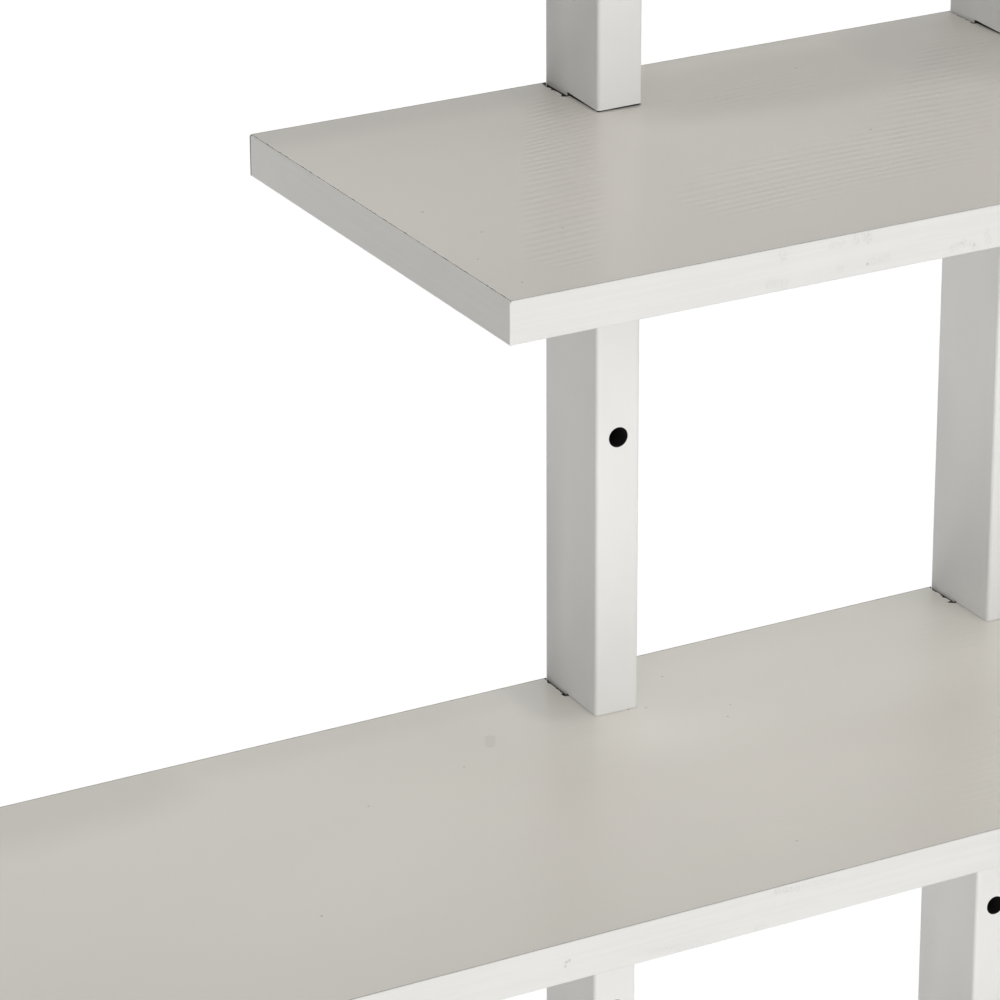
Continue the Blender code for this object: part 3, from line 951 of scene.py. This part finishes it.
def patch_rim(grid):
    """The point numbers round a square patch of the grid, once round."""
    return np.concatenate([grid[0, :-1], grid[:-1, -1], grid[-1, :0:-1], grid[:0:-1, 0]])


def ordered_rim(grid, points, middle):
    """The patch's rim sorted by its direction from the bore's middle, and those directions."""
    rim = patch_rim(grid)
    away = points[rim] - middle
    angle = np.arctan2(away[:, 2], away[:, 0])
    order = np.argsort(angle)
    return rim[order], angle[order]


def bore_rings(kind, middle, angle):
    """Circles about the bore's axis, one for each radius and depth."""
    size = np.array(BORE_RINGS[kind]) * MM
    radius = size[:, 0, None]
    x = middle[0] + radius * np.cos(angle)
    z = middle[2] + radius * np.sin(angle)
    y = np.broadcast_to(size[:, 1, None], x.shape)
    return np.stack([x, y, z], axis=-1)


def step_rows(heights):
    """The rows at which the section changes: the next ring lies at the same height."""
    return np.flatnonzero(np.isclose(np.diff(heights), 0))


def foot_rise(section, tilt):
    """How far each point of a foot is lifted: nothing at the rear, then evenly across the front."""
    share = np.clip(section[:, 0] / (2 * post_half) + 0.5, 0, 1)
    return np.where(np.arange(len(section)) < rear_count, 0, tilt[0] + (tilt[1] - tilt[0]) * share)


def post_rings(side, heights, is_web, tilts):
    """The section at every height: the web's behind a slot, and each foot lifted by its tilt."""
    section = np.where(is_web[:, None, None], web_section, full_section)
    levels = np.repeat(heights[:, None], section.shape[1], axis=1)
    for row, tilt in tilts.items():
        levels[row] += foot_rise(full_section, tilt)
    return np.dstack([section + (post_x[side], 0), levels])


print("bores:", {kind: len(rings) for kind, rings in BORE_RINGS.items()}, "rings each")

# %% [markdown]
# Now a post can be put together. Where a slot begins or ends, two rings lie at one height and share
# their rear points, and a small triangle closes each side. Foil covers the outside, and the slots and
# the screws' bores show bare fibre, set dark as painted shade. The wall bores are painted near black
# as painted shade.

# %% Make the posts
FOIL_FACE = 0
FIBRE_FACE = 1
BORE_FACE = 2


def slot_corners(number, steps):
    """The small triangles at the web's two edges, one pair for each row at which the section steps."""
    left = [number[steps, rear_count - 1], number[steps, rear_count], number[steps + 1, rear_count]]
    right = [number[steps, -1], number[steps, 0], number[steps + 1, -1]]
    return np.hstack([left, right]).T.tolist()


def bore_faces(kind, rims, circle_numbers):
    """Faces from the rear patch's rim through the bore's circles to the front one's, with finishes."""
    walls = strip_faces(np.vstack([rims[0], circle_numbers, rims[1]])[::-1])
    # Wall bores take the near black finish and screw bores the dark fibre: painted shade.
    finish = np.full(walls.shape[:2], BORE_FACE if kind == "wall" else FIBRE_FACE)
    finish[0] = FOIL_FACE if kind == "wall" else FIBRE_FACE
    finish[-1] = FOIL_FACE
    return walls.reshape(-1, 4), finish.ravel()


def make_post(side):
    """Rings of the section carried up the wall, then the bores joined through the open patches."""
    low, high = post_box[side][:, 2]
    heights, is_web, tilts, bores = post_rows(low, high)
    rings = post_rings(side, heights, is_web, tilts)
    points = rings.reshape(-1, 3)
    number = np.arange(len(points)).reshape(rings.shape[:2])
    steps = step_rows(heights)
    number[steps + 1, :rear_count] = number[steps, :rear_count]
    sides = strip_faces(number)
    keep = np.ones(sides.shape[:2], dtype=bool)
    keep[steps, :rear_count] = False
    keep[steps, -1] = False
    cut = is_web[:-1, None] & is_web[1:, None]
    cut[steps] = True
    in_front = np.arange(rings.shape[1]) >= rear_count - 1
    finish_of_side = np.where(cut & in_front, FIBRE_FACE, FOIL_FACE)
    all_points, bore_walls, bore_finishes = [points], [], []
    count = len(points)
    for kind, row, level in bores:
        middle = np.array([post_x[side], 0, level])
        rims = []
        for column in (rear_column, front_column):
            keep[row : row + PATCH_STEPS, column : column + PATCH_STEPS] = False
            grid = number[row : row + PATCH_STEPS + 1, column : column + PATCH_STEPS + 1]
            rim, angle = ordered_rim(grid, points, middle)
            rims.append(rim)
        circles = bore_rings(kind, middle, angle)
        circle_numbers = count + np.arange(circles[..., 0].size).reshape(circles.shape[:2])
        count += circle_numbers.size
        walls, finish = bore_faces(kind, rims, circle_numbers)
        all_points.append(circles.reshape(-1, 3))
        bore_walls.append(walls)
        bore_finishes.append(finish)
    ends = [*slot_corners(number, steps), number[0, ::-1].tolist(), number[-1].tolist()]
    faces = np.vstack([sides[keep], *bore_walls]).tolist() + ends
    end_finish = np.full(len(ends), FIBRE_FACE)
    finish_of_face = np.concatenate([finish_of_side[keep], *bore_finishes, end_finish])
    finishes = [foil_finish, fibre_core_and_shade, bore_shade_finish]
    placed = turned(np.vstack(all_points), side)
    return make_piece(f"{side}_post", placed, faces, finishes, finish_of_face)


for side in SIDES:
    post = make_post(side)
    print(post.name, len(post.data.polygons), "faces")

# %% [markdown]
# The sawn ends of a post are closed with the same band as the boards. Its outline is the post's own
# section, carried up half a millimetre and drawn in along a small quarter circle at the outer face.

# %% Close the posts' ends
CAP_RADIUS = 0.35 * MM
CAP_STEPS = 4


def make_post_end(side, end):
    """The post's section in rings that shrink about their middle as they near the outer face."""
    node = f"{side}_post_{end}_band"
    low, high = corners(node)
    middle = (low + high) / 2
    quarter = np.linspace(0, np.pi / 2, CAP_STEPS + 1)
    rise = np.concatenate([[0], high[2] - low[2] - CAP_RADIUS * (1 - np.sin(quarter))])
    inset = np.concatenate([[0], CAP_RADIUS * (1 - np.cos(quarter))])
    half = (high - low)[:2] / 2
    outline = full_section + (0, -middle[1])
    shrunk = outline * (1 - inset[:, None, None] / half) + (middle[0], middle[1])
    height = low[2] + rise if end == "top" else high[2] - rise
    rings = np.dstack([shrunk, np.broadcast_to(height[:, None], shrunk.shape[:2])])
    points, sides, first, last = carried(rings if end == "top" else rings[::-1])
    faces = sides.reshape(-1, 4).tolist() + [first.tolist(), last.tolist()]
    placed = turned(points, side)
    return make_piece(node, placed, faces, [band_finish], [0] * len(faces))


for side in SIDES:
    for end in ("top", "bottom"):
        make_post_end(side, end)
print("post ends closed:", 2 * len(SIDES))

# %% [markdown]
# A countersunk screw is a turned shape with two things that turning can't give: the cross recess in
# its head and the thread on its shank. Both are written into the turned grid: the recess sinks the
# head's rows where they fall inside a cross, and the thread swells the shank's rows by a ridge that
# climbs once round per pitch.

# %% Make the screws
SCREW_SPOKES = 64
HEAD_RIM = 0.4 * MM
RECESS_ARM = 2.1 * MM
RECESS_HALF = 0.5 * MM
RECESS_DEPTH = 1.6 * MM
RECESS_SLOPE = 0.3
RECESS_FLOOR = 1.6
THREAD_PITCH = 1.8 * MM
THREAD_HEIGHT = 0.495 * MM
RIDGE_HALF = 0.22
TIP_LENGTH = 5 * MM
TIP_SHARE = 0.02
HEAD_ROWS = 26
RIM_ROWS = 3
SHANK_ROWS = 120


def recess_depth(x, z):
    """A cross of two arms: deepest in the middle, running out along each arm, with sloped walls."""
    arms = []
    for along, across in ((x, z), (z, x)):
        wall = np.clip((RECESS_HALF - np.abs(across)) / (RECESS_SLOPE * RECESS_HALF), 0, 1)
        arms.append(wall * np.clip(1 - np.abs(along) / RECESS_ARM, 0, 1))
    return RECESS_DEPTH * np.minimum(1, RECESS_FLOOR * np.maximum(*arms))


def make_screw(shelf, side):
    """Rows of a turned profile from head to tip, with the recess and the thread worked into them."""
    node = f"{shelf}_{side}_screw"
    low, high = corners(node)
    middle = (low + high) / 2
    head_radius = (high[0] - low[0]) / 2
    shank_radius = head_radius / 2
    length = high[1] - low[1]
    cone_end = HEAD_RIM + head_radius - shank_radius
    head = np.linspace(TIP_SHARE, 1, HEAD_ROWS) * head_radius
    shank = np.linspace(cone_end, length, SHANK_ROWS)
    tip = np.clip((length - shank) / TIP_LENGTH, TIP_SHARE, 1)
    radius = np.concatenate([head, [head_radius], shank_radius * tip])[:, None]
    depth = np.concatenate([np.zeros(HEAD_ROWS), [HEAD_RIM], shank])[:, None]
    spoke = np.linspace(0, math.tau, SCREW_SPOKES, endpoint=False)
    turn = (depth / THREAD_PITCH + spoke / math.tau) % 1
    ridge = np.clip(1 - np.abs(turn - 0.5) / RIDGE_HALF, 0, 1) - 1
    started = np.clip((depth - cone_end - THREAD_PITCH) / THREAD_PITCH, 0, 1)
    threaded = started * np.minimum(1, radius / shank_radius)
    radius = radius + THREAD_HEIGHT * ridge * threaded
    x = radius * np.cos(spoke)
    z = radius * np.sin(spoke)
    inside_rim = np.arange(len(depth))[:, None] < HEAD_ROWS - RIM_ROWS
    sunk = np.where(inside_rim, recess_depth(x, z), 0)
    y = high[1] - depth - sunk
    rings = np.stack([middle[0] + x, y, middle[2] + z], axis=-1)
    points, sides, first, last = carried(rings)
    faces = sides.reshape(-1, 4).tolist() + [first.tolist(), last.tolist()]
    placed = turned(points, side)
    return make_piece(node, placed, faces, [zinc_finish], [0] * len(faces))


for shelf in SHELVES:
    for side in SIDES:
        screw = make_screw(shelf, side)
print("screws:", len(SHELVES) * len(SIDES), "with", len(screw.data.polygons), "faces each")

# %% [markdown]
# The photograph has a plain white ground. The floor here is a pale sheet far below the shelf, which
# hangs high on its wall, and the sky over it is as pale. Both glow evenly for the camera and throw
# no light on the boards. Those are lit by a few very soft suns, placed by comparing the brightness
# of their faces with the photograph.

# %% Lay the floor and set the lights
FLOOR_LEVEL = -8.0
FLOOR_HALF = 30.0
STUDIO_GLOW = 1.02
SUNS = [
    (0, 10, 100, 2.71),
    (330, -20, 40, 0.47),
    (105, 5, 40, 1.01),
    (120, 30, 40, 0.30),
    (151, 38, 40, 0.36),
    (112.5, -45, 40, 1.20),
    (180, -60, 100, 0.93),
    (202.5, 55, 40, 0.24),
    (240, 30, 40, 0.37),
    (247.5, -45, 40, 0.64),
    (292.5, 55, 40, 0.45),
]


def make_floor():
    """A flat sheet on a two by two grid of corners."""
    across, along = np.meshgrid([-FLOOR_HALF, FLOOR_HALF], [-FLOOR_HALF, FLOOR_HALF])
    points = np.column_stack([across.ravel(), along.ravel(), np.full(4, FLOOR_LEVEL)])
    mesh = bpy.data.meshes.new("floor")
    mesh.from_pydata(points.tolist(), [], [(0, 1, 3, 2)])
    pale = Finish(
        "pale_floor",
        Base_Color=colour(0, 0, 0),
        Roughness=1.0,
        Specular_IOR_Level=0.0,
        Emission_Color=colour(1, 1, 1),
        Emission_Strength=STUDIO_GLOW,
    )
    mesh.materials.append(pale.material)
    floor = bpy.data.objects.new("floor", mesh)
    floor.visible_shadow = False
    floor.visible_diffuse = False
    floor.visible_glossy = False
    bpy.context.scene.collection.objects.link(floor)
    return floor


def make_sun(number, azimuth, elevation, spread, strength):
    """A soft sun. Azimuth 0 shines from the front and 90 from the right; spread is how wide it looks."""
    light = bpy.data.lights.new(f"soft_sun_{number}", "SUN")
    light.energy = strength
    light.angle = math.radians(spread)
    sun = bpy.data.objects.new(f"soft_sun_{number}", light)
    sun.rotation_euler = (math.radians(90 - elevation), 0, math.radians(azimuth))
    bpy.context.scene.collection.objects.link(sun)
    return sun


make_floor()
sky = bpy.data.worlds.new("studio_sky")
sky.use_nodes = True
backdrop = sky.node_tree.nodes["Background"]
backdrop.inputs["Color"].default_value = colour(1, 1, 1)
backdrop.inputs["Strength"].default_value = STUDIO_GLOW
bpy.context.scene.world = sky
sky.cycles_visibility.diffuse = False
sky.cycles_visibility.glossy = False
for number, sun in enumerate(SUNS):
    make_sun(number, *sun)
bpy.context.scene.view_settings.view_transform = "Standard"
print("floor at", FLOOR_LEVEL, "with", len(SUNS), "soft suns")
